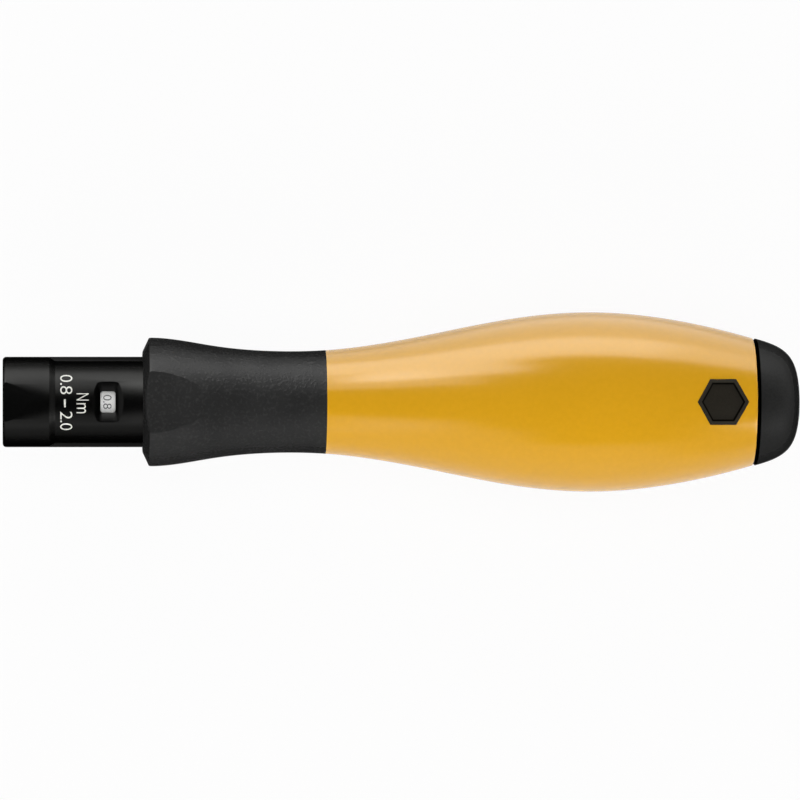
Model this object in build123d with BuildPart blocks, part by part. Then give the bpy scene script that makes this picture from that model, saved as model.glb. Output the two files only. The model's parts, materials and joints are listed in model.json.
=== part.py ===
"""Torque screwdriver: handle with a front-set, click-over clutch and a scale window in the nose.

Millimetres. The tool axis is X, from the nose face (x = 0) to the end cap. +Z is the display side.
"""
import os
from math import radians, tan

from build123d import *

# Outside sizes, read from the photograph
tool_length = 132.6
nose_radius = 7.5
nose_length = 23.2
nose_edge = 0.6
nose_flat_length = 6.1
nose_flat_depth = 0.82
label_start_x = 7.7
label_slope = 1.0
label_depth = 0.7
window_x = 17.4
pane_length = 2.52
pane_width = 3.5
pane_corner = 0.45
pane_height = 5.5
funnel_run_x = 1.0
funnel_run_y = 4.0
funnel_run_corner = 1.1
flare_radius = 10.68
flare_face_radius = 8.36
flare_slope = 1.05
flare_edge = 0.3
flare_flat = 9.4
neck_x = 35.0
neck_radius = 9.34
waist_x = 47.8
waist_radius = 8.43
grip_end_x = 53.6
joint_radius = 8.62
front_x = 69.5
front_radius = 10.95
chest_x = 84.5
chest_radius = 13.85
belly_x = 98.5
belly_radius = 14.95
hip_x = 112.8
hip_radius = 13.48
shell_end_x = 124.8
shell_end_radius = 10.57
cap_gap = 0.25
cap_radius = 10.46
cap_edge = 0.25
badge_x = 118.95
badge_width = 7.6
badge_rim = 0.65
badge_rise = 0.15
badge_recess = 0.4
badge_seat = 1.3

# Clearances
running = 0.05
sliding = 0.1
seat = 0.02

# Mechanism, laid out from the axis outward
blade_hex = 4.0
socket_depth = 19.6
setter_hole = 1.7
setter_hex = 2.5
setter_depth = 2.0
screw_bore = 2.2
thread_radius = 1.55
screw_tail = 1.1
spindle_radius = 3.2
spindle_setback = 0.4
scale_inner = 4.3
scale_outer = 4.9
spring_wire = 2.0
spring_outer = 5.6
spring_turns = 10
barrel_wall = 0.85
core_wall = 0.75
mark_pitch = 2.25
mark_steps = 6

# Mechanism, lengths along the axis
front_wall = 2.3
bush_length = 13.2
collar_length = 1.0
setter_stop = 1.5
screw_head = 2.6
nut_gap = 0.4
nut_length = 3.0
bar_width = 2.2
washer_thickness = 0.75
scale_ring = 2.0
spring_length = 40.0
shaft_spigot = 5.4
pin_radius = 0.75
plate_thickness = 3.0
tooth_count = 12
tooth_height = 1.25
tooth_gap_deg = 1.5
cam_thickness = 3.5
cam_flats = 4.4
lug_width = 2.4
lug_reach = 0.9
shaft_nut_length = 3.0
shaft_nut_width = 8.0
plug_length = 11.7
tail_length = 6.0
lock_pin_radius = 1.0
stem_radius = 6.5
stem_length = 16.5
clip_x = 4.6
clip_wire = 0.7

# Positions that follow from the sizes above
nose_end_x = nose_length + 1.05
nose_bore = scale_outer + 0.15
barrel_bore = spring_outer + 0.15
barrel_radius = barrel_bore + barrel_wall
core_bore = barrel_radius + running
core_waist = core_bore + core_wall
core_flare = core_waist + 0.85
core_belly = belly_radius - 2.95
core_end = shell_end_radius - 2.37
travel = mark_pitch * mark_steps
bush_end_x = spindle_setback + bush_length
collar_x = bush_end_x + running
socket_end_x = spindle_setback + socket_depth
screw_x = socket_end_x + setter_stop
thread_x = screw_x + seat + screw_head
nut_x = thread_x + nut_gap
washer_x = nut_x + nut_length + seat
scale_ring_x = washer_x + washer_thickness + seat
spring_x = scale_ring_x + scale_ring + seat
slot_end_x = nut_x + travel + nut_length + 0.3
spigot_x = slot_end_x + 1.2
spindle_end_x = spigot_x + shaft_spigot
plate_x = spring_x + spring_length + seat
plate_end_x = plate_x + plate_thickness
cam_x = plate_end_x + tooth_height + running
shaft_nut_x = cam_x + cam_thickness
tail_washer_x = shaft_nut_x + shaft_nut_length + running
plug_x = tail_washer_x + washer_thickness + running
barrel_end_x = plug_x + plug_length
lock_pin_x = barrel_end_x - 2.8
cap_x = shell_end_x + cap_gap
stem_x = cap_x - stem_length
tooth_inner = spindle_radius + 0.2
tooth_outer = barrel_bore - 0.2
tooth_pitch_deg = 360 / tooth_count

os.makedirs("parts", exist_ok=True)


def save(piece, name):
    """Names a finished piece and writes it as its own node."""
    piece.label = name
    export_step(piece, f"parts/{name}.step")


def turned(*points):
    """A solid turned about the tool axis from an outline of (x, radius) points."""
    with BuildPart() as piece:
        with BuildSketch():
            with BuildLine():
                Polyline(*points, close=True)
            make_face()
        revolve(axis=Axis.X)
    return piece.part


def ring(x0, x1, inner, outer):
    """A plain turned ring, or a plain rod when the inner radius is 0."""
    return turned((x0, inner), (x1, inner), (x1, outer), (x0, outer))


def along_x(x):
    """A sketch plane square to the tool axis, with +Z up and the normal along +X."""
    return Plane(origin=(x, 0, 0), x_dir=(0, 1, 0), z_dir=(1, 0, 0))


def shell_solid(rise):
    """The handle's belly as a solid, its outside raised by the given amount."""
    with BuildPart() as piece:
        with BuildSketch():
            with BuildLine():
                outside = Spline(
                    (grip_end_x, joint_radius + rise),
                    (front_x, front_radius + rise),
                    (chest_x, chest_radius + rise),
                    (belly_x, belly_radius + rise),
                    (hip_x, hip_radius + rise),
                    (shell_end_x, shell_end_radius + rise),
                    tangents=((1, 0.07), (1, -0.29)),
                )
                Polyline(outside @ 1, (shell_end_x, 0), (grip_end_x, 0), outside @ 0)
            make_face()
        revolve(axis=Axis.X)
    return piece.part


def core_solid(end_x):
    """The outside of the handle's core as a solid that ends at the given x."""
    return turned(
        (nose_end_x, 0),
        (nose_end_x, core_flare),
        (neck_x - 2, core_flare),
        (neck_x + 5, core_waist),
        (grip_end_x + 1.4, core_waist),
        (belly_x - 8, core_belly),
        (belly_x + 6, core_belly),
        (shell_end_x - 0.5, core_end),
        (end_x, core_end),
        (end_x, 0),
    )


def badge_prism(width):
    """A hexagonal prism, points along the axis, that stands through the shell at the badge."""
    with BuildPart() as piece:
        with BuildSketch(Plane.XY.offset(core_end)):
            with Locations((badge_x, 0)):
                RegularPolygon(width / 2, 6, major_radius=False)
        extrude(amount=belly_radius)
    return piece.part


def saw_teeth(base_x, height, valley_deg, crest_deg):
    """A crown of saw teeth on the face at base_x; each flank rises from its valley to its crest."""
    root_x = base_x - height * 0.3
    with BuildPart() as crown:
        with BuildPart() as tooth:
            for level in (tooth_inner * 0.9, tooth_outer):
                valley = level * tan(radians(valley_deg))
                crest = level * tan(radians(crest_deg))
                with BuildSketch(Plane.XY.offset(level)):
                    with BuildLine():
                        Polyline(
                            (root_x, valley),
                            (base_x, valley),
                            (base_x + height, crest),
                            (root_x, crest),
                            close=True,
                        )
                    make_face()
            loft(ruled=True)
        for number in range(1, tooth_count):
            add(tooth.part.rotate(Axis.X, number * tooth_pitch_deg))
        add(ring(root_x, base_x + height, tooth_inner, tooth_outer), mode=Mode.INTERSECT)
    return crown.part


# Nose barrel: the nose, the label recess and the long spigot inside the handle
with BuildPart() as nose_barrel:
    add(ring(0, nose_end_x, 0, nose_radius))
    fillet(nose_barrel.edges().group_by(Axis.X)[0], nose_edge)
    add(ring(nose_end_x, barrel_end_x, 0, barrel_radius))
    add(ring(0, front_wall, 0, scale_inner - sliding), mode=Mode.SUBTRACT)
    add(ring(front_wall, scale_ring_x - 0.4, 0, nose_bore), mode=Mode.SUBTRACT)
    add(ring(scale_ring_x - 0.4, barrel_end_x, 0, barrel_bore), mode=Mode.SUBTRACT)
    with BuildSketch(Plane.XZ):
        with BuildLine():
            Polyline(
                (-1, nose_radius - nose_flat_depth * (1 + 1 / nose_flat_length)),
                (nose_flat_length, nose_radius),
                (nose_flat_length, nose_radius + 1),
                (-1, nose_radius + 1),
                close=True,
            )
        make_face()
    extrude(amount=nose_radius, both=True, mode=Mode.SUBTRACT)
    with BuildSketch():
        with BuildLine():
            Polyline(
                (label_start_x, nose_radius),
                (label_start_x + label_slope, nose_radius - label_depth),
                (nose_length + 0.2, nose_radius - label_depth),
                (nose_length + 0.2, nose_radius + 1),
                (label_start_x, nose_radius + 1),
                close=True,
            )
        make_face()
    revolve(axis=Axis.X, revolution_arc=180, mode=Mode.SUBTRACT)
    funnel_depth = nose_radius - pane_height
    with BuildSketch(Plane.XY.offset(pane_height)):
        with Locations((window_x, 0)):
            RectangleRounded(pane_length, pane_width, pane_corner)
    with BuildSketch(Plane.XY.offset(nose_radius)):
        with Locations((window_x, 0)):
            RectangleRounded(
                pane_length + 2 * funnel_run_x * funnel_depth,
                pane_width + 2 * funnel_run_y * funnel_depth,
                pane_corner + funnel_run_corner * funnel_depth,
            )
    loft(mode=Mode.SUBTRACT)
    with BuildSketch(Plane.XY.offset(pane_height)):
        with Locations((window_x, 0)):
            RectangleRounded(pane_length, pane_width, pane_corner)
    extrude(amount=-scale_outer / 2, mode=Mode.SUBTRACT)
    with Locations((front_wall, 0, -nose_bore)):
        Box(
            scale_ring_x - front_wall,
            1.6,
            0.9,
            align=(Align.MIN, Align.CENTER, Align.CENTER),
            mode=Mode.SUBTRACT,
        )
    with Locations((plate_x - 1.6, 0, 0)):
        Box(
            barrel_end_x - plate_x + 1.6,
            2 * barrel_radius,
            lug_width + sliding,
            align=(Align.MIN, Align.CENTER, Align.CENTER),
            mode=Mode.SUBTRACT,
        )
    with Locations((lock_pin_x, 0, 0)):
        Cylinder(lock_pin_radius, 2 * core_bore, mode=Mode.SUBTRACT)
save(nose_barrel.part, "nose_barrel")

# Window lens: a clear pane in the throat of the window
with BuildPart() as window_lens:
    with BuildSketch(Plane.XY.offset(pane_height)):
        with Locations((window_x, 0)):
            RectangleRounded(pane_length - seat, pane_width - seat, pane_corner)
    extrude(amount=-0.4)
save(window_lens.part, "window_lens")

# Front bush: carries the spindle in the nose
save(ring(spindle_setback, bush_end_x, spindle_radius + running, scale_inner - sliding), "front_bush")

# Scale sleeve: the tube that bears the numbers, with its key and the ring the spring sits on
with BuildPart() as scale_sleeve:
    add(ring(front_wall + 0.2, scale_ring_x, scale_inner, scale_outer))
    add(ring(scale_ring_x, scale_ring_x + scale_ring, spindle_radius + sliding, spring_outer))
    with Locations((label_start_x, 0, -scale_outer)):
        Box(
            scale_ring_x - label_start_x,
            1.5,
            0.7,
            align=(Align.MIN, Align.CENTER, Align.CENTER),
        )
    add(ring(0, scale_ring_x, 0, scale_inner), mode=Mode.SUBTRACT)
save(scale_sleeve.part, "scale_sleeve")

# Drive spindle: blade socket at the front, adjusting screw and its slots behind it
with BuildPart() as drive_spindle:
    add(ring(spindle_setback, spindle_end_x, 0, spindle_radius))
    add(ring(collar_x, collar_x + collar_length, 0, scale_inner - 0.4))
    with BuildSketch(along_x(spindle_setback)):
        RegularPolygon(blade_hex / 2 + seat, 6, major_radius=False)
    extrude(amount=socket_depth, mode=Mode.SUBTRACT)
    add(
        turned(
            (spindle_setback, 0),
            (spindle_setback, blade_hex / 2 + 0.6),
            (spindle_setback + 0.6, blade_hex / 2),
            (spindle_setback + 0.6, 0),
        ),
        mode=Mode.SUBTRACT,
    )
    add(ring(clip_x - clip_wire * 0.6, clip_x + clip_wire * 0.6, 0, blade_hex / 2 + 0.7), mode=Mode.SUBTRACT)
    add(ring(socket_end_x, screw_x, 0, setter_hole), mode=Mode.SUBTRACT)
    add(ring(screw_x, spindle_end_x, 0, screw_bore), mode=Mode.SUBTRACT)
    with Locations((nut_x - 0.2, 0, 0)):
        Box(
            slot_end_x - nut_x + 0.2,
            2 * spindle_radius + 1,
            bar_width + sliding,
            align=(Align.MIN, Align.CENTER, Align.CENTER),
            mode=Mode.SUBTRACT,
        )
    with Locations((spigot_x + shaft_spigot * 0.68, 0, 0)):
        Cylinder(pin_radius, 2 * spindle_radius + 1, mode=Mode.SUBTRACT)
save(drive_spindle.part, "drive_spindle")

# Blade clip: an open wire ring in the socket that grips the blade
with BuildPart() as blade_clip:
    with BuildSketch():
        with Locations((clip_x, blade_hex / 2 + 0.28)):
            Circle(clip_wire / 2)
    revolve(axis=Axis.X, revolution_arc=300)
save(blade_clip.part, "blade_clip")

# Adjusting screw: turned by the setting key through the blade socket
with BuildPart() as adjusting_screw:
    add(ring(screw_x + seat, thread_x, 0, screw_bore - running))
    add(ring(thread_x, spigot_x - 0.3, 0, thread_radius))
    add(ring(spigot_x - 0.3, spigot_x + 1.8, 0, screw_tail))
    with BuildSketch(along_x(screw_x + seat)):
        RegularPolygon(setter_hex / 2, 6, major_radius=False)
    extrude(amount=setter_depth, mode=Mode.SUBTRACT)
save(adjusting_screw.part, "adjusting_screw")

# Adjusting nut: rides on the screw, its bar reaching out through the spindle's slots
with BuildPart() as adjusting_nut:
    add(ring(nut_x, nut_x + nut_length, 0, screw_bore - running))
    with Locations((nut_x, 0, 0)):
        Box(
            nut_length,
            2 * (scale_inner - 0.15),
            bar_width,
            align=(Align.MIN, Align.CENTER, Align.CENTER),
        )
    add(ring(nut_x, nut_x + nut_length, 0, thread_radius + running), mode=Mode.SUBTRACT)
save(adjusting_nut.part, "adjusting_nut")

# Thrust washer: lets the nut's bar turn against the scale sleeve
save(
    ring(washer_x, washer_x + washer_thickness, spindle_radius + sliding, scale_inner - sliding),
    "thrust_washer",
)

# Torque spring: ground flat at both ends
with BuildPart() as torque_spring:
    with BuildLine() as coil:
        Helix(
            spring_length / spring_turns,
            spring_length,
            spring_outer - spring_wire / 2,
            center=(spring_x, 0, 0),
            direction=(1, 0, 0),
        )
    with BuildSketch(Plane(origin=coil.line @ 0, z_dir=coil.line % 0)):
        Circle(spring_wire / 2)
    sweep(path=coil.line, is_frenet=True)
    add(ring(spring_x, spring_x + spring_length, 0, barrel_bore), mode=Mode.INTERSECT)
save(torque_spring.part, "torque_spring")

# Pressure plate: keyed to the barrel by two lugs, its teeth pressed into the cam ring
with BuildPart() as pressure_plate:
    add(ring(plate_x, plate_end_x, spindle_radius + sliding, barrel_bore - sliding))
    with Locations((plate_x, 0, 0)):
        Box(
            plate_thickness,
            2 * (barrel_bore - sliding + lug_reach),
            lug_width,
            align=(Align.MIN, Align.CENTER, Align.CENTER),
        )
    add(ring(plate_x, plate_end_x, 0, spindle_radius + sliding), mode=Mode.SUBTRACT)
    add(saw_teeth(plate_end_x, tooth_height, tooth_pitch_deg / 2, -tooth_pitch_deg / 2))
save(pressure_plate.part, "pressure_plate")

# Cam ring: turns with the spindle and lifts the plate when the set torque is passed
with BuildPart() as cam_ring:
    add(ring(cam_x, shaft_nut_x, 0, barrel_bore - sliding))
    add(
        saw_teeth(
            cam_x,
            -tooth_height * (1 - tooth_gap_deg / tooth_pitch_deg),
            -tooth_pitch_deg / 2,
            tooth_pitch_deg / 2 - tooth_gap_deg,
        )
    )
    with BuildSketch(along_x(cam_x)):
        Circle(spindle_radius - 0.6)
        Rectangle(2 * spindle_radius, cam_flats, mode=Mode.INTERSECT)
    extrude(amount=cam_thickness, mode=Mode.SUBTRACT)
save(cam_ring.part, "cam_ring")

# Clutch shaft: the spindle's rear half, with the cam's flats, the nut's thread and the tail
with BuildPart() as clutch_shaft:
    add(ring(spigot_x, spindle_end_x, 0, screw_bore))
    add(ring(spindle_end_x, cam_x, 0, spindle_radius))
    with BuildSketch(along_x(cam_x)):
        Circle(spindle_radius - 0.6 - seat)
        Rectangle(2 * spindle_radius, cam_flats - 2 * seat, mode=Mode.INTERSECT)
    extrude(amount=cam_thickness)
    add(ring(shaft_nut_x, plug_x + tail_length, 0, cam_flats / 2 - running))
    add(ring(spigot_x, spigot_x + 2.0, 0, screw_tail + running), mode=Mode.SUBTRACT)
    with Locations((spigot_x + shaft_spigot * 0.68, 0, 0)):
        Cylinder(pin_radius, 2 * spindle_radius + 1, mode=Mode.SUBTRACT)
save(clutch_shaft.part, "clutch_shaft")

# Shaft pin: joins the two halves of the spindle
with BuildPart() as shaft_pin:
    with Locations((spigot_x + shaft_spigot * 0.68, 0, 0)):
        Cylinder(pin_radius, 2 * spindle_radius - 0.5)
save(shaft_pin.part, "shaft_pin")

# Shaft nut: holds the cam ring against its shoulder
with BuildPart() as shaft_nut:
    with BuildSketch(along_x(shaft_nut_x)):
        RegularPolygon(shaft_nut_width / 2, 6, major_radius=False)
        Circle(cam_flats / 2 - running, mode=Mode.SUBTRACT)
    extrude(amount=shaft_nut_length)
save(shaft_nut.part, "shaft_nut")

# Tail washer: takes up the end play between the nut and the rear plug
save(
    ring(tail_washer_x, tail_washer_x + washer_thickness, cam_flats / 2, shaft_nut_width / 2),
    "tail_washer",
)

# Rear plug: closes the barrel and carries the spindle's tail
with BuildPart() as rear_plug:
    add(ring(plug_x, barrel_end_x, 0, barrel_bore))
    add(ring(plug_x, plug_x + tail_length + 0.4, 0, cam_flats / 2), mode=Mode.SUBTRACT)
    with Locations((lock_pin_x, 0, 0)):
        Cylinder(lock_pin_radius, 2 * barrel_radius, mode=Mode.SUBTRACT)
save(rear_plug.part, "rear_plug")

# Lock pin: holds plug, barrel and core together
with BuildPart() as lock_pin:
    with Locations((lock_pin_x, 0, 0)):
        Cylinder(lock_pin_radius, 2 * core_belly - 1.6)
save(lock_pin.part, "lock_pin")

# Handle core: the stiff inner handle that the grip and the shell are moulded onto
with BuildPart() as handle_core:
    add(core_solid(cap_x))
    add(ring(nose_end_x, barrel_end_x + 0.3, 0, core_bore), mode=Mode.SUBTRACT)
    add(ring(stem_x - 0.3, cap_x, 0, stem_radius), mode=Mode.SUBTRACT)
    with Locations((lock_pin_x, 0, 0)):
        Cylinder(lock_pin_radius, 2 * core_belly - 1.6, mode=Mode.SUBTRACT)
save(handle_core.part, "handle_core")

# Front grip: the soft sleeve, with a flat on the display side and one opposite
with BuildPart() as front_grip:
    with BuildSketch():
        with BuildLine():
            flare = Spline(
                (nose_length + flare_slope + flare_edge, flare_radius),
                (neck_x, neck_radius),
                (waist_x, waist_radius),
                (grip_end_x, joint_radius),
                tangents=((1, 0), (1, 0.07)),
            )
            Polyline(
                flare @ 0,
                (nose_length + flare_slope, flare_radius - flare_edge / 4),
                (nose_length, flare_face_radius),
                (nose_length, 0),
                (grip_end_x, 0),
                flare @ 1,
            )
        make_face()
    revolve(axis=Axis.X)
    with Locations((nose_length, 0, flare_flat), (nose_length, 0, -flare_flat - flare_radius)):
        Box(
            grip_end_x - nose_length,
            2 * flare_radius,
            flare_radius,
            align=(Align.MIN, Align.CENTER, Align.MIN),
            mode=Mode.SUBTRACT,
        )
    add(ring(nose_length, nose_end_x, 0, nose_radius + running), mode=Mode.SUBTRACT)
    add(core_solid(cap_x), mode=Mode.SUBTRACT)
save(front_grip.part, "front_grip")

# Handle shell: the coloured belly, with the pocket for the badge
with BuildPart() as badge_pocket:
    add(badge_prism(badge_width))
    add(shell_solid(-badge_seat), mode=Mode.SUBTRACT)
with BuildPart() as handle_shell:
    add(shell_solid(0))
    add(core_solid(cap_x), mode=Mode.SUBTRACT)
    add(badge_pocket.part, mode=Mode.SUBTRACT)
save(handle_shell.part, "handle_shell")

# Hex badge: a bare plate with a raised rim that follows the shell
with BuildPart() as badge_field:
    add(badge_prism(badge_width - 2 * badge_rim))
    add(shell_solid(badge_rise - badge_recess), mode=Mode.SUBTRACT)
with BuildPart() as hex_badge:
    add(badge_prism(badge_width - 2 * seat))
    add(shell_solid(badge_rise), mode=Mode.INTERSECT)
    add(shell_solid(-badge_seat), mode=Mode.SUBTRACT)
    add(badge_field.part, mode=Mode.SUBTRACT)
save(hex_badge.part, "hex_badge")

# End cap: the domed end with its stem pressed into the core
with BuildPart() as end_cap:
    with BuildSketch():
        with BuildLine():
            dome = Spline(
                (cap_x + cap_edge, cap_radius),
                (tool_length - 3.3, cap_radius * 0.863),
                (tool_length - 1.8, cap_radius * 0.729),
                (tool_length - 0.8, cap_radius * 0.55),
                (tool_length, 0),
                tangents=((1, -0.3), (0, -1)),
            )
            Polyline(
                dome @ 1,
                (stem_x, 0),
                (stem_x, stem_radius),
                (cap_x, stem_radius),
                (cap_x, cap_radius - cap_edge),
                dome @ 0,
            )
        make_face()
    revolve(axis=Axis.X)
save(end_cap.part, "end_cap")
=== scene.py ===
"""Looks of the torque screwdriver: moulded handle, lettering, finishes, floor, light and camera.

The scene is in metres, in the part's own frame: X runs along the tool from the nose face to the end cap,
and +Z is the display side. Named sizes are in millimetres, as in the part's source, and are scaled by MM.
Only the sizes under Floor and Studio are in metres.
"""

import json
from math import cos, pi, radians, sin

import bmesh
import bpy
from mathutils import Matrix, Vector


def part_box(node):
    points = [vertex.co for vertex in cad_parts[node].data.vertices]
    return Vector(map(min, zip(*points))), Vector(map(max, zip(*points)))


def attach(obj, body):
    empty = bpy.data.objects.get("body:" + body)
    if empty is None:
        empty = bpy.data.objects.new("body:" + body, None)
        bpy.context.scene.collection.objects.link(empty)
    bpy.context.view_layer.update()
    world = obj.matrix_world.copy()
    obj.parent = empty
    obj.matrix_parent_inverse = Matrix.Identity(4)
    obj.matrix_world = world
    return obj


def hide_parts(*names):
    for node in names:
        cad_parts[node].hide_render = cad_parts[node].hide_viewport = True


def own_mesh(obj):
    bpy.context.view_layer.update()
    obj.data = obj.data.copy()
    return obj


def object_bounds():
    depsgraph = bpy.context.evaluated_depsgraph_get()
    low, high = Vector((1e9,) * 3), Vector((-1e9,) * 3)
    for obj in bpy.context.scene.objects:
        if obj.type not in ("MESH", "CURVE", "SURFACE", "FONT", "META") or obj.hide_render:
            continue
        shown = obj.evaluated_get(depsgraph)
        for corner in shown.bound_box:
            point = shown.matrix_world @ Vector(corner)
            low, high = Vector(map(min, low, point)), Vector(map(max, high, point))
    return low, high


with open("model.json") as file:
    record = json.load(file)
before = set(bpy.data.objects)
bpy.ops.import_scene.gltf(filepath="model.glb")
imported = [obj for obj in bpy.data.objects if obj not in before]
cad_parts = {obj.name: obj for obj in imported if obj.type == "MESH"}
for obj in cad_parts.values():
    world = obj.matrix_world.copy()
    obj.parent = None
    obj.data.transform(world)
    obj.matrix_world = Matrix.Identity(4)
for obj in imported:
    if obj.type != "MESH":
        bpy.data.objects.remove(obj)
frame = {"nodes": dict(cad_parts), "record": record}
cad_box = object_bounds()
MM = 0.001

# Handle outline: stations of (x, radius), and the slopes at the two ends
grip_end = (53.6, 8.62)
shell_end = (124.8, 10.63)
seam_slope = 0.07
grip_stations = ((24.55, 10.68), (35.0, 9.34), (47.8, 8.43), grip_end)
grip_slopes = (0.0, seam_slope)
shell_stations = (grip_end, (69.5, 10.95), (84.5, 13.85), (98.5, 14.944), (112.8, 13.48), shell_end)
shell_slopes = (seam_slope, -0.29)
grip_front_x = 23.2
grip_lip = (24.25, 10.605)
grip_face_radius = 8.36
grip_bore = 7.55
grip_flat = 9.4

# Core that the handle is moulded onto: where its stretches start and end, and their radii
core_front_x = 24.27
core_flare_end = 33.0
core_waist_start = 40.0
core_waist_end = 55.0
core_belly_start = 90.5
core_belly_end = 104.5
core_tail_start = 124.3
core_flare = 8.27
core_waist = 7.42
core_belly = 12.02
core_tail = 8.22

# End cap
cap_x = 125.05
cap_rim = (125.3, 10.58)
cap_shoulder = (131.0, 9.05)
cap_crown = (132.6, 7.5)
cap_tip = (132.6, 0.0)
cap_face_radius = 10.33
stem_x = 108.55
stem_radius = 6.48
# Where the cap's painted shade along its seam ends: black up to here, standing in for the gap to the belly
seam_painted_shade_end = 125.38

# Badge and its pocket: the shell's outer wall is above outer_wall_z there
badge_x = 118.95
badge_width = 7.6
badge_seat = 1.3
badge_rim = 0.65
badge_reach = 0.7 * badge_width
outer_wall_z = 10.0
field_tone = 0.75
# Painted shade along the field's edge, under the rim's wall: its width and tone
painted_edge_shade_width = 0.28
painted_edge_shade_tone = 0.12
tone_fade = 0.08

# Torque spring: the length next to the clutch that is cut off as a piece of its own
spring_foot = 6.0

# Lettering: words, baseline, height, length and middle of the label, and the row of numbers on the scale
label_radius = 6.8
label_words = (
    ("0.8", 9.5, 2.02, 3.58, -3.08),
    ("–", 10.14, 0.29, 1.36, 0.20),
    ("2.0", 9.5, 2.02, 3.5, 3.34),
    ("N", 12.2, 2.02, 1.19, -0.84),
    ("m", 12.2, 1.56, 1.68, 1.04),
)
scale_radius = 4.9
mark_x = 17.32
mark_pitch = 2.25
mark_values = ("0.8", "1.0", "1.2", "1.4", "1.6", "1.8", "2.0")
mark_height = 1.39
mark_length = 2.35
letter_strip = 0.35
ink_lift = 0.006
ink_thickness = 0.012

# Letters before they are scaled, in the font's own units
label_thinning = 0.008
mark_thinning = 0.004
letter_spacing = 0.93
letter_detail = 6
letter_merge = 0.00001

# Mesh detail: steps, rounded edges, merging distances and, in degrees, angles between faces
lathe_steps = 192
curve_detail = 20
slope_sweeps = 60
corner_steps = 4
flat_steps = 3
copy_steps = 2
shell_edge = 0.1
grip_edge = 0.12
flat_edge = 0.18
copy_edge = 0.06
corner_reach = 0.01
outline_merge = 0.002
lathe_merge = 0.001
copy_merge = 0.0005
sliver = 0.002
cut_snap = 0.0001
strip_snap = 0.00001
crease_angle = 32
sharp_angle = 25
level_angle = 0.6

# Camera
camera_aim = (66.04, 0.325, 0.0)
camera_distance = 1300.0
camera_tilt = 2.85
camera_reach = 20000.0
frame_width = 133.12
sensor_width = 36.0

# Grain of the finishes: the stretch of the noise over which specks show, and the clouds' share of its scale
speck_start = 0.32
speck_run = 0.36
cloud_share = 0.07

# Window pane
pane_tone = 0.9
pane_grain = 1.5
pane_rough = 0.06
pane_haze = 0.05

# Floor: its tones, and the shares of plain white in what the camera and the tool's gloss see of it
floor_half = 4.0
paper_tone = 0.5
bright_tone = 0.8
floor_seen = 0.94
floor_mirrored = 0.9
# Painted shade on the floor's near side, as the tool's gloss sees it: the share of white left there, where
# it ends and the run over which it fades
painted_shade_share = 0.4
painted_shade_end = -0.09
painted_shade_fade = 0.07

# Studio: each panel's name, side (x, y), span along the tool, height, radiance and distance
far_side = (0, 1)
near_side = (0, -1)
panel_distance = 0.85
near_distance = 0.05
panels = (
    ("key_panel", far_side, (-0.9, 0.4), (-0.06, 0.46), 4.4, panel_distance),
    ("key_end", far_side, (0.4, 1.1), (-0.06, 0.46), 2.8, panel_distance),
    ("key_wing", far_side, (-1.2, -0.13), (0.46, 0.94), 4.4, panel_distance),
    ("key_near", far_side, (-0.05, 0.051), (0.031, 0.053), 2.8, near_distance),
    ("key_crown", far_side, (-0.05, 0.051), (0.053, 0.1), 2.0, near_distance),
    ("fill_panel", near_side, (-0.9, 0.4), (-0.06, 0.55), 0.67, panel_distance),
    ("fill_end", near_side, (0.4, 0.78), (-0.06, 0.55), 0.25, panel_distance),
    ("fill_cap", near_side, (0.92, 1.6), (0.28, 0.95), 4.2, panel_distance),
    ("fill_wing", near_side, (-1.2, -0.13), (0.55, 1.0), 0.67, panel_distance),
    ("fill_near", near_side, (-0.05, 0.05), (0.024, 0.09), 0.9, near_distance),
    ("nose_end_panel", (-1, 0), (-0.6, 0.6), (-0.06, 0.4), 0.9, panel_distance),
    ("cap_end_panel", (1, 0), (-0.6, 0.6), (-0.06, 0.4), 0.9, panel_distance),
)

# Studio: the panel on the table and the glows, with their places, widths, heights and radiance
tool_middle = 0.066
table_gap = 0.0005
table_panel = ((tool_middle, 0.43, cad_box[0].z + table_gap), 1.6, 0.8, 1.0)
glows = (
    ("front_glow", (tool_middle, -1.3, 0.5), 1.6, 0.9, 3.1),
    ("back_glow", (tool_middle, 1.3, 0.45), 1.6, 0.9, 2.0),
    ("top_glow", (tool_middle, 0.0, 1.6), 1.6, 1.6, 2.35),
)
room_light = 0.05


class Signal:
    """A node's output socket that takes part in arithmetic by adding Math nodes."""

    def __init__(self, tree, socket):
        self.tree = tree
        self.socket = socket

    def math(self, operation, first, second):
        return node(self.tree, "ShaderNodeMath", {"operation": operation}, {0: first, 1: second})

    def __add__(self, other):
        return self.math("ADD", self, other)

    __radd__ = __add__

    def __sub__(self, other):
        return self.math("SUBTRACT", self, other)

    def __rsub__(self, other):
        return self.math("SUBTRACT", other, self)

    def __mul__(self, other):
        return self.math("MULTIPLY", self, other)

    __rmul__ = __mul__

    def __abs__(self):
        return self.math("ABSOLUTE", self, 0)

    def or_more(self, other):
        """The larger of two values."""
        return self.math("MAXIMUM", self, other)


def node(tree, kind, settings, inputs, output=0):
    """Adds a node, sets its settings, then fills or links its sockets, and returns one output."""
    made = tree.nodes.new(kind)
    for name, value in settings.items():
        setattr(made, name, value)
    for key, value in inputs.items():
        if isinstance(value, Signal):
            tree.links.new(value.socket, made.inputs[key])
        else:
            made.inputs[key].default_value = value
    return Signal(tree, made.outputs[output]) if made.outputs else None


def new_tree(name):
    """A material with an empty node tree."""
    material = bpy.data.materials.new(name)
    material.use_nodes = True
    material.node_tree.nodes.clear()
    return material, material.node_tree


def close_tree(tree, shader):
    """Links a shader to the material's output."""
    node(tree, "ShaderNodeOutputMaterial", {}, {"Surface": shader})


def object_place(tree):
    """The shaded place in the piece's own coordinates."""
    return node(tree, "ShaderNodeTexCoord", {}, {}, "Object")


def coordinate(tree, axis):
    """One of the shaded place's coordinates."""
    return node(tree, "ShaderNodeSeparateXYZ", {}, {0: object_place(tree)}, axis)


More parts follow.
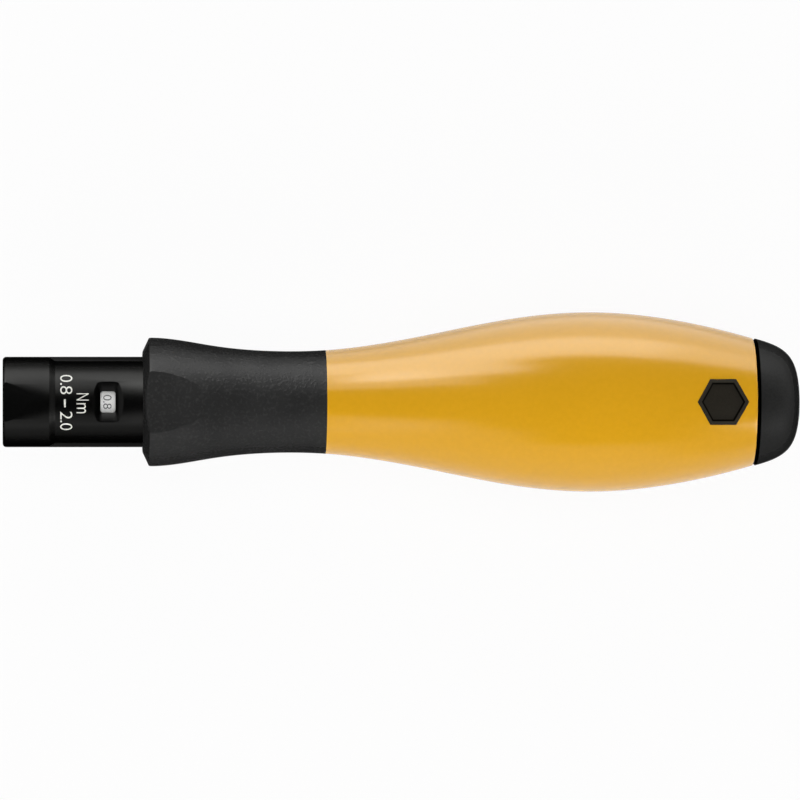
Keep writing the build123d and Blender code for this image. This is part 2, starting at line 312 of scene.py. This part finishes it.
def noise(tree, grains_per_mm):
    """Even noise from 0 to 1 in the piece's own coordinates."""
    inputs = {"Vector": object_place(tree), "Scale": grains_per_mm / MM}
    return node(tree, "ShaderNodeTexNoise", {}, inputs, "Fac")


def rise(tree, value, start, run):
    """Goes from 0 to 1 over a short run of a value."""
    inputs = {"Value": value, "From Min": start, "From Max": start + run}
    return node(tree, "ShaderNodeMapRange", {}, inputs)


def colour_mix(tree, factor, low, high):
    """A colour that goes from low to high with the factor. A Mix node's colours are sockets 6, 7 and 2."""
    inputs = {0: factor}
    for socket, colour in ((6, low), (7, high)):
        inputs[socket] = colour if isinstance(colour, Signal) else (*colour, 1)
    return node(tree, "ShaderNodeMix", {"data_type": "RGBA"}, inputs, 2)


def seam_painted_shade(tree):
    """Painted shade: black along the cap's seam, in the gap to the belly, and full colour beyond it."""
    return rise(tree, coordinate(tree, "X"), seam_painted_shade_end * MM, tone_fade * MM)


def rim_tone_and_painted_edge_shade(tree):
    """Full colour on the badge's raised rim and less on its field, its own two tones; least along the
    field's edge, a painted shade under the rim's wall.
    """
    along = abs(coordinate(tree, "X") - badge_x * MM)
    across = abs(coordinate(tree, "Y"))
    reach = across.or_more(along * cos(pi / 6) + across * sin(pi / 6))
    rim_start = badge_width / 2 - badge_rim
    # Painted shade along the field's edge, under the rim's wall
    painted_edge_shade = rise(tree, reach, (rim_start - painted_edge_shade_width) * MM, tone_fade * MM)
    rim = rise(tree, reach, rim_start * MM, tone_fade * MM)
    return field_tone - (field_tone - painted_edge_shade_tone) * painted_edge_shade + (1 - painted_edge_shade_tone) * rim


def finish_of(name, low, high, grain, roughness, spread, relief, specks=speck_start, shade=None, **fixed):
    """A finish: colour and roughness vary with a fine grain, which also raises the surface a little. A
    shade, when given, darkens the colour towards black: the badge field's own darker tone, and painted
    shade along the badge field's edge and at the cap's seam.
    """
    material, tree = new_tree(name)
    mottle = rise(tree, noise(tree, grain), specks, speck_run)
    cloud = noise(tree, grain * cloud_share)
    bump = {"Strength": 1.0, "Distance": relief * MM, "Height": mottle}
    colour = colour_mix(tree, mottle * 0.5 + cloud * 0.5, low, high)
    if shade:
        colour = colour_mix(tree, shade(tree), (0, 0, 0), colour)
    inputs = {
        "Base Color": colour,
        "Roughness": roughness - spread + 2 * spread * mottle,
        "Normal": node(tree, "ShaderNodeBump", {}, bump),
    }
    inputs.update(fixed)
    close_tree(tree, node(tree, "ShaderNodeBsdfPrincipled", {}, inputs))
    return material


def clear_pane():
    """The window's clear plastic."""
    material, tree = new_tree("pane_clear")
    haze = noise(tree, pane_grain)
    inputs = {
        "Base Color": (pane_tone, pane_tone, pane_tone, 1),
        "Roughness": pane_rough + pane_rough * haze,
        "Alpha": pane_haze + pane_haze * haze,
    }
    close_tree(tree, node(tree, "ShaderNodeBsdfPrincipled", {}, inputs))
    return material


def paint(piece, material):
    """Gives a piece one finish."""
    piece.data.materials.clear()
    piece.data.materials.append(material)
    return piece


def station_slopes(stations, first, last):
    """Slopes of the smooth curve through the stations, whose end slopes are given."""
    slopes = [first] + [0.0] * (len(stations) - 2) + [last]
    for _ in range(slope_sweeps):
        for i in range(1, len(stations) - 1):
            x0, r0 = stations[i - 1]
            x1, r1 = stations[i]
            x2, r2 = stations[i + 1]
            before = x1 - x0
            after = x2 - x1
            climb = 3 * (r1 - r0) / before**2 + 3 * (r2 - r1) / after**2
            pull = slopes[i - 1] / before + slopes[i + 1] / after
            slopes[i] = (climb - pull) / (2 / before + 2 / after)
    return slopes


def smooth_run(stations, end_slopes):
    """Curve points of a smooth stretch: (place, handle before, handle after)."""
    slopes = station_slopes(stations, *end_slopes)
    run = []
    for i, (x, r) in enumerate(stations):
        before = x - stations[i - 1][0] if i else None
        after = stations[i + 1][0] - x if i + 1 < len(stations) else None
        left = (x - before / 3, r - slopes[i] * before / 3) if before else None
        right = (x + after / 3, r + slopes[i] * after / 3) if after else None
        run.append(((x, r), left, right))
    return run


def corners(*points):
    """Curve points of a stretch of straight lines."""
    return [(point, None, None) for point in points]


def at(place):
    """A point of the outline plane, in metres."""
    return Vector((place[0] * MM, 0, place[1] * MM))


def shape_of(curve):
    """A bmesh of a curve or a text, which is then removed."""
    holder = bpy.data.objects.new(curve.name, curve)
    flat = bpy.data.meshes.new_from_object(holder)
    shape = bmesh.new()
    shape.from_mesh(flat)
    bpy.data.objects.remove(holder)
    bpy.data.curves.remove(curve)
    bpy.data.meshes.remove(flat)
    return shape


def outline_bmesh(run, closed):
    """A bmesh with the outline's edges in the XZ plane, made from a curve."""
    curve = bpy.data.curves.new("outline", "CURVE")
    curve.dimensions = "3D"
    curve.resolution_u = curve_detail
    spline = curve.splines.new("BEZIER")
    spline.bezier_points.add(len(run) - 1)
    spline.use_cyclic_u = closed
    for point, (place, left, right) in zip(spline.bezier_points, run):
        point.co = at(place)
        point.handle_left_type = "FREE" if left else "VECTOR"
        point.handle_right_type = "FREE" if right else "VECTOR"
        if left:
            point.handle_left = at(left)
        if right:
            point.handle_right = at(right)
    outline = shape_of(curve)
    bmesh.ops.remove_doubles(outline, verts=outline.verts, dist=outline_merge * MM)
    return outline


def round_corner(outline, place, size):
    """Rounds the outline's corner at a place."""
    corner = [v for v in outline.verts if (v.co - at(place)).length < corner_reach * MM]
    bmesh.ops.bevel(
        outline, geom=corner, offset=size * MM, offset_type="OFFSET", segments=corner_steps, profile=0.5,
        affect="VERTICES", material=-1,
    )


def round_edges(shape, edges, size, steps):
    """Rounds edges of a solid shape."""
    bmesh.ops.bevel(
        shape, geom=edges, offset=size * MM, offset_type="OFFSET", segments=steps, profile=0.5,
        affect="EDGES", material=-1, clamp_overlap=True,
    )


def turn(outline):
    """Spins the outline a full turn about the tool axis."""
    bmesh.ops.spin(
        outline, geom=outline.verts[:] + outline.edges[:], cent=(0, 0, 0), axis=(1, 0, 0), angle=2 * pi,
        steps=lathe_steps, use_merge=True,
    )
    bmesh.ops.remove_doubles(outline, verts=outline.verts, dist=lathe_merge * MM)
    bmesh.ops.recalc_face_normals(outline, faces=outline.faces)


def cut_off(shape, place, normal):
    """Cuts off what lies beyond a plane, closes the cut and returns the edges round it."""
    cut = bmesh.ops.bisect_plane(
        shape, geom=shape.verts[:] + shape.edges[:] + shape.faces[:], dist=cut_snap * MM,
        plane_co=place, plane_no=normal, clear_outer=True,
    )
    rim = [e for e in cut["geom_cut"] if isinstance(e, bmesh.types.BMEdge)]
    bmesh.ops.contextual_create(shape, geom=rim)
    return rim


def piece_from(shape, name):
    """Turns a finished bmesh into an object with smooth faces and sharp creases."""
    mesh = bpy.data.meshes.new(name)
    for face in shape.faces:
        face.smooth = True
    shape.to_mesh(mesh)
    shape.free()
    mesh.set_sharp_from_angle(angle=radians(crease_angle))
    piece = bpy.data.objects.new(name, mesh)
    bpy.context.scene.collection.objects.link(piece)
    return piece


def handle_shell():
    """The yellow belly: a turned wall with a six-sided pocket for the badge."""
    inner = corners(
        (shell_end[0], core_tail), (core_tail_start, core_tail), (core_belly_end, core_belly),
        (core_belly_start, core_belly), (core_waist_end, core_waist), (grip_end[0], core_waist),
    )
    shape = outline_bmesh(smooth_run(shell_stations, shell_slopes) + inner, True)
    round_corner(shape, shell_end, shell_edge)
    turn(shape)
    open_pocket(shape)
    return piece_from(shape, "belly_shell")


def open_pocket(shape):
    """Cuts the badge's hexagon into the display side and gives it walls and a floor."""
    for point, normal in hex_planes():
        near = faces_by_badge(shape)
        parts = dict.fromkeys(part for face in near for part in (face, *face.edges, *face.verts))
        bmesh.ops.bisect_plane(shape, geom=list(parts), dist=cut_snap * MM, plane_co=point, plane_no=normal)
    inside = [face for face in faces_by_badge(shape) if within_hex(face)]
    bmesh.ops.delete(shape, geom=inside, context="FACES")
    rim = [e for e in shape.edges if e.is_boundary]
    walls = bmesh.ops.extrude_edge_only(shape, edges=rim)["geom"]
    foot = [v for v in walls if isinstance(v, bmesh.types.BMVert)]
    bmesh.ops.translate(shape, verts=foot, vec=(0, 0, -badge_seat * MM))
    bmesh.ops.contextual_create(shape, geom=[e for e in shape.edges if e.is_boundary])
    bmesh.ops.recalc_face_normals(shape, faces=shape.faces)


def hex_planes():
    """Points and outward normals of the six upright planes round the badge."""
    planes = []
    for side in range(6):
        angle = radians(30 + 60 * side)
        normal = Vector((cos(angle), sin(angle), 0))
        planes.append((Vector((badge_x * MM, 0, 0)) + normal * badge_width / 2 * MM, normal))
    return planes


def faces_by_badge(shape):
    """The faces on the outside of the shell near the badge."""
    return [face for face in shape.faces if over_badge(face.calc_center_median())]


def over_badge(place):
    """Whether a place lies on the outside of the shell near the badge."""
    reach = badge_reach * MM
    return place.z > outer_wall_z * MM and abs(place.x - badge_x * MM) < reach and abs(place.y) < reach


def within_hex(face):
    """Whether a face lies inside the badge's hexagon."""
    centre = face.calc_center_median()
    return all((centre - point).dot(normal) < 0 for point, normal in hex_planes())


def front_grip():
    """The soft sleeve: a turned wall with a flat on the display side and one opposite."""
    face = (grip_front_x, grip_face_radius)
    inner = corners(
        (grip_end[0], core_waist), (core_waist_start, core_waist), (core_flare_end, core_flare),
        (core_front_x, core_flare), (core_front_x, grip_bore), (grip_front_x, grip_bore), face, grip_lip,
    )
    shape = outline_bmesh(smooth_run(grip_stations, grip_slopes) + inner, True)
    round_corner(shape, face, grip_edge)
    turn(shape)
    for side in (1, -1):
        rim = cut_off(shape, (0, 0, side * grip_flat * MM), (0, 0, side))
        round_edges(shape, rim, flat_edge, flat_steps)
    return piece_from(shape, "front_grip_sleeve")


def end_cap():
    """The domed end with its stem."""
    inner = corners((stem_x, 0.0), (stem_x, stem_radius), (cap_x, stem_radius), (cap_x, cap_face_radius))
    dome = [(cap_rim, None, cap_shoulder), (cap_tip, cap_crown, None)]
    shape = outline_bmesh(inner + dome, False)
    turn(shape)
    return piece_from(shape, "domed_cap")


def copied(name):
    """A bmesh copy of a CAD node with its doubles merged."""
    shape = bmesh.new()
    shape.from_mesh(frame["nodes"][name].data)
    bmesh.ops.remove_doubles(shape, verts=shape.verts, dist=copy_merge * MM)
    return shape


def softened(name):
    """A copy of a CAD node with its sharp edges rounded."""
    shape = copied(name)
    bmesh.ops.dissolve_limit(
        shape, angle_limit=radians(level_angle), verts=shape.verts, edges=shape.edges,
    )
    joined = [e for e in shape.edges if len(e.link_faces) == 2]
    sharp = [e for e in joined if e.calc_face_angle() > radians(sharp_angle)]
    round_edges(shape, sharp, copy_edge, copy_steps)
    return piece_from(shape, name + "_shown")


def spring_part(name, joint, outward):
    """The spring on one side of its split, cut off there as a piece of its own."""
    front, back = (corner.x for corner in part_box("torque_spring"))
    split = back - spring_foot * MM
    length = back - split if outward > 0 else split - front
    shape = copied("torque_spring")
    cut_off(shape, (split, 0, 0), (-outward, 0, 0))
    piece = piece_from(shape, name)
    travel = slide_travel(joint)
    1 - travel / length
    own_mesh(piece)
    return piece


def slide_travel(name):
    """How far a slide of the record goes from rest, in metres."""
    joints = {joint["name"]: joint for joint in frame["record"]["behaviour"]["joints"]}
    return max(abs(limit) for limit in joints[name]["range_m"])


def lettering(words, radius, baseline, height, length, middle, thinning):
    """Words printed round the nose: letter tops towards the handle, read down the display side."""
    text = bpy.data.curves.new("lettering", "FONT")
    text.body = words
    text.resolution_u = letter_detail
    text.offset = -thinning
    text.space_character = letter_spacing
    shape = shape_of(text)
    low, high = extent(shape, 0)
    foot, top = extent(shape, 1)
    bmesh.ops.remove_doubles(shape, verts=shape.verts, dist=letter_merge)
    bmesh.ops.translate(shape, verts=shape.verts, vec=(-(low + high) / 2, -foot, 0))
    stretch = (length * MM / (high - low), height * MM / (top - foot), 1)
    bmesh.ops.scale(shape, verts=shape.verts, vec=stretch)
    slice_across(shape, length)
    bmesh.ops.dissolve_degenerate(shape, dist=sliver * MM, edges=shape.edges)
    bmesh.ops.translate(shape, verts=shape.verts, vec=(middle * MM, baseline * MM, 0))
    bend(shape, radius)
    return shape


def extent(shape, axis):
    """Lowest and highest coordinate of a bmesh along an axis."""
    values = [v.co[axis] for v in shape.verts]
    return min(values), max(values)


def slice_across(shape, length):
    """Cuts flat letters into narrow strips, so that they can bend."""
    count = int(length / letter_strip)
    for i in range(1, count):
        place = (i / count - 0.5) * length * MM
        bmesh.ops.bisect_plane(
            shape, geom=shape.verts[:] + shape.edges[:] + shape.faces[:], dist=strip_snap * MM,
            plane_co=(place, 0, 0), plane_no=(1, 0, 0),
        )


def bend(shape, radius):
    """Wraps flat letters round the tool axis and gives the ink its thickness."""
    reach = (radius + ink_lift) * MM
    for vert in shape.verts:
        angle = vert.co.x / (radius * MM)
        vert.co = Vector((vert.co.y, -reach * sin(angle), reach * cos(angle)))
    bmesh.ops.recalc_face_normals(shape, faces=shape.faces)
    for face in shape.faces:
        centre = face.calc_center_median()
        if face.normal.dot(Vector((0, centre.y, centre.z))) < 0:
            face.normal_flip()
    bmesh.ops.solidify(shape, geom=shape.faces[:], thickness=-ink_thickness * MM)
    bmesh.ops.recalc_face_normals(shape, faces=shape.faces)


def label_print():
    """The printed range and unit on the nose."""
    whole = bmesh.new()
    for words, baseline, height, length, middle in label_words:
        word = lettering(words, label_radius, baseline, height, length, middle, label_thinning)
        take_in(whole, word)
    return piece_from(whole, "label_print")


def scale_print():
    """The numbers on the scale sleeve, one of them behind the window."""
    whole = bmesh.new()
    for step, words in enumerate(mark_values):
        baseline = mark_x - mark_height / 2 - step * mark_pitch
        mark = lettering(words, scale_radius, baseline, mark_height, mark_length, 0.0, mark_thinning)
        take_in(whole, mark)
    return piece_from(whole, "scale_print")


def take_in(whole, part):
    """Adds one bmesh to another."""
    carrier = bpy.data.meshes.new("carrier")
    part.to_mesh(carrier)
    part.free()
    whole.from_mesh(carrier)
    bpy.data.meshes.remove(carrier)


def white_floor():
    """A pale floor that reads white and keeps the tool's shadow. In the tool's gloss its white is dimmed on
    the near side: painted shade.
    """
    material, tree = new_tree("floor_white")
    straight = ray_kind(tree, "Is Camera Ray")
    mirrored = ray_kind(tree, "Is Glossy Ray").or_more(ray_kind(tree, "Is Transmission Ray"))
    paper = matt(tree, paper_tone)
    bright_paper = matt(tree, bright_tone)
    white = node(tree, "ShaderNodeEmission", {}, {"Color": (1, 1, 1, 1), "Strength": 1.0})
    across = coordinate(tree, "Y")
    # Painted shade: the floor's white that the gloss sees drops on the near side
    painted_floor_shade = painted_shade_share + (floor_mirrored - painted_shade_share) * rise(tree, across, painted_shade_end, painted_shade_fade)
    seen = node(tree, "ShaderNodeMixShader", {}, {0: floor_seen, 1: bright_paper, 2: white})
    unseen = node(tree, "ShaderNodeMixShader", {}, {0: mirrored * painted_floor_shade, 1: paper, 2: white})
    close_tree(tree, node(tree, "ShaderNodeMixShader", {}, {0: straight, 1: unseen, 2: seen}))
    return material


def ray_kind(tree, kind):
    """1 for rays of a kind, and 0 for others."""
    return node(tree, "ShaderNodeLightPath", {}, {}, kind)


def matt(tree, tone):
    """A plain grey surface without gloss."""
    return node(tree, "ShaderNodeBsdfDiffuse", {}, {"Color": (tone, tone, tone, 1)})


def make_floor():
    """The floor under the belly."""
    shape = bmesh.new()
    bmesh.ops.create_grid(shape, x_segments=1, y_segments=1, size=floor_half)
    bmesh.ops.translate(shape, verts=shape.verts, vec=(camera_aim[0] * MM, 0, cad_box[0].z))
    floor = piece_from(shape, "floor")
    floor.data.materials.append(white_floor())


def lamp(name, place, towards, width, height, radiance):
    """A rectangular lamp that faces a direction, given by its radiance."""
    light = bpy.data.lights.new(name, "AREA")
    light.shape = "RECTANGLE"
    light.size = width
    light.size_y = height
    light.energy = radiance * pi * width * height
    holder = bpy.data.objects.new(name, light)
    turned = Vector(towards).to_track_quat("-Z", "Y").to_matrix().to_4x4()
    holder.matrix_world = Matrix.Translation(place) @ turned
    holder.visible_camera = False
    bpy.context.scene.collection.objects.link(holder)
    return holder


def panel(name, side, span, height, radiance, distance):
    """An upright panel on one side of the tool that only shows in its gloss."""
    left, right = span
    foot, top = height
    out = Vector((*side, 0))
    along = Vector((abs(side[1]), abs(side[0]), 0))
    place = out * distance + along * (left + right) / 2 + Vector((0, 0, (foot + top) / 2))
    lamp(name, place, -out, right - left, top - foot, radiance).visible_diffuse = False


def table_light():
    """A panel that lies on the floor beyond the tool and only shows in its gloss."""
    place, width, height, radiance = table_panel
    lamp("table_panel", place, (0, 0, 1), width, height, radiance).visible_diffuse = False


def glow(name, place, width, height, radiance):
    """A lamp that lights the tool without showing in its gloss."""
    towards = Vector((camera_aim[0] * MM, 0, 0)) - Vector(place)
    holder = lamp(name, place, towards, width, height, radiance)
    holder.visible_glossy = False
    holder.data.cycles.use_multiple_importance_sampling = False


def dim_room():
    """A weak even light from all round."""
    world = bpy.data.worlds.new("room")
    world.use_nodes = True
    bpy.context.scene.world = world
    backdrop = world.node_tree.nodes["Background"]
    backdrop.inputs["Color"].default_value = (1, 1, 1, 1)
    backdrop.inputs["Strength"].default_value = room_light


def studio():
    """Strong panels beyond the tool, weak ones before it and at its ends, soft light and a dim room."""
    for row in panels:
        panel(*row)
    table_light()
    for row in glows:
        glow(*row)
    dim_room()


def make_camera():
    """The photograph's view: from above the display side, leaning a little towards the nose."""
    data = bpy.data.cameras.new("photo_camera")
    data.sensor_width = sensor_width
    data.lens = sensor_width * camera_distance / frame_width
    data.clip_end = camera_reach * MM
    camera = bpy.data.objects.new("photo_camera", data)
    tilt = radians(camera_tilt)
    right = Vector((cos(tilt), 0, sin(tilt)))
    up = Vector((0, 1, 0))
    back = Vector((-sin(tilt), 0, cos(tilt)))
    place = Vector(camera_aim) * MM + back * camera_distance * MM
    turned = Matrix((right, up, back)).transposed().to_4x4()
    camera.matrix_world = Matrix.Translation(place) @ turned
    bpy.context.scene.collection.objects.link(camera)
    bpy.context.scene.camera = camera


# Finishes: low and high colour, grains to the millimetre, roughness and its spread, relief in millimetres
dark_edge = {"Metallic": 1.0, "Specular Tint": (0, 0, 0, 1)}
satin = {"Metallic": 0.4, "Specular Tint": (0.1, 0.1, 0.1, 1), "Specular IOR Level": 0.0}
cap_satin = {"Metallic": 0.55, "Specular Tint": (0.18, 0.18, 0.18, 1), "Specular IOR Level": 0.0}
anodised = finish_of(
    "anodised_black", (0.0140, 0.0140, 0.0136), (0.0190, 0.0190, 0.0185),
    grain=6.0, roughness=0.32, spread=0.03, relief=0.002, **dark_edge,
)
rubber = finish_of(
    "rubber_grain", (0.027, 0.027, 0.027), (0.060, 0.060, 0.059),
    grain=2.2, roughness=0.37, spread=0.05, relief=0.05, specks=0.5, **satin,
)
yellow = finish_of(
    "yellow_moulding", (0.70, 0.354, 0.008), (0.75, 0.376, 0.010),
    grain=1.2, roughness=0.22, spread=0.015, relief=0.001, IOR=1.59,
)
# The cap's finish: black painted along the seam, a painted shade in the gap to the belly
cap_black_and_painted_seam_shade = finish_of(
    "cap_moulding_painted_seam_shade", (0.026, 0.026, 0.026), (0.039, 0.039, 0.038),
    grain=3.0, roughness=0.48, spread=0.05, relief=0.006, shade=seam_painted_shade, **cap_satin,
)
# The badge's finish: its own two tones, and painted shade along the field's edge
badge_black_and_painted_edge_shade = finish_of(
    "badge_moulding_painted_edge_shade", (0.034, 0.030, 0.023), (0.046, 0.041, 0.032),
    grain=4.0, roughness=0.5, spread=0.05, relief=0.006, shade=rim_tone_and_painted_edge_shade, **satin,
)
core = finish_of(
    "core_moulding", (0.04, 0.04, 0.04), (0.06, 0.06, 0.06),
    grain=3.0, roughness=0.55, spread=0.05, relief=0.004,
)
sleeve_white = finish_of(
    "sleeve_white", (0.80, 0.80, 0.78), (0.88, 0.88, 0.86),
    grain=3.0, roughness=0.5, spread=0.05, relief=0.002,
)
ink_white = finish_of(
    "ink_white", (0.76, 0.76, 0.70), (0.84, 0.84, 0.78),
    grain=8.0, roughness=0.55, spread=0.05, relief=0.002,
)
ink_dark = finish_of(
    "ink_dark", (0.035, 0.035, 0.037), (0.055, 0.055, 0.058),
    grain=8.0, roughness=0.55, spread=0.05, relief=0.002,
)
nylon = finish_of(
    "nylon_plain", (0.70, 0.68, 0.62), (0.78, 0.76, 0.70),
    grain=3.0, roughness=0.5, spread=0.05, relief=0.002,
)
steel = finish_of(
    "steel_turned", (0.50, 0.51, 0.52), (0.60, 0.61, 0.62),
    grain=5.0, roughness=0.28, spread=0.06, relief=0.002, Metallic=1.0,
)
dark_steel = finish_of(
    "steel_oiled", (0.16, 0.16, 0.17), (0.24, 0.24, 0.25),
    grain=5.0, roughness=0.38, spread=0.06, relief=0.002, Metallic=1.0,
)
bronze = finish_of(
    "bronze_sintered", (0.50, 0.33, 0.15), (0.62, 0.43, 0.22),
    grain=6.0, roughness=0.42, spread=0.08, relief=0.006, Metallic=1.0,
)
pane = clear_pane()

# CAD nodes, painted by the record's slots
slot_finish = {
    "black_anodised": anodised,
    "black_plastic": badge_black_and_painted_edge_shade,
    "bronze": bronze,
    "clear_pane": pane,
    "core_plastic": core,
    "dark_steel": dark_steel,
    "grip_rubber": rubber,
    "nylon": nylon,
    "scale_white": sleeve_white,
    "steel": steel,
    "yellow_plastic": yellow,
}
slot_of = {part["node"]: part["material_slot"] for part in frame["record"]["subparts"]}
for name, slot in slot_of.items():
    paint(frame["nodes"][name], slot_finish[slot])

# Pieces that stand for CAD nodes
shown = (
    (handle_shell(), yellow, "handle_shell"),
    (front_grip(), rubber, "front_grip"),
    (end_cap(), cap_black_and_painted_seam_shade, "end_cap"),
    (softened("nose_barrel"), anodised, "nose_barrel"),
    (softened("hex_badge"), badge_black_and_painted_edge_shade, "hex_badge"),
    (spring_part("coil_spring", "scale_travel", -1), dark_steel, "torque_spring"),
    (spring_part("coil_spring_foot", "clutch_lift", 1), dark_steel, "torque_spring"),
)
for piece, material, replaced in shown:
    paint(piece, material)
    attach(piece, "handle")
    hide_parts(replaced)

# Printed words and numbers
label = paint(label_print(), ink_white)
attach(label, "handle")
numbers = paint(scale_print(), ink_dark)
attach(numbers, "scale")

make_floor()
studio()
make_camera()
bpy.context.scene.view_settings.view_transform = "Standard"
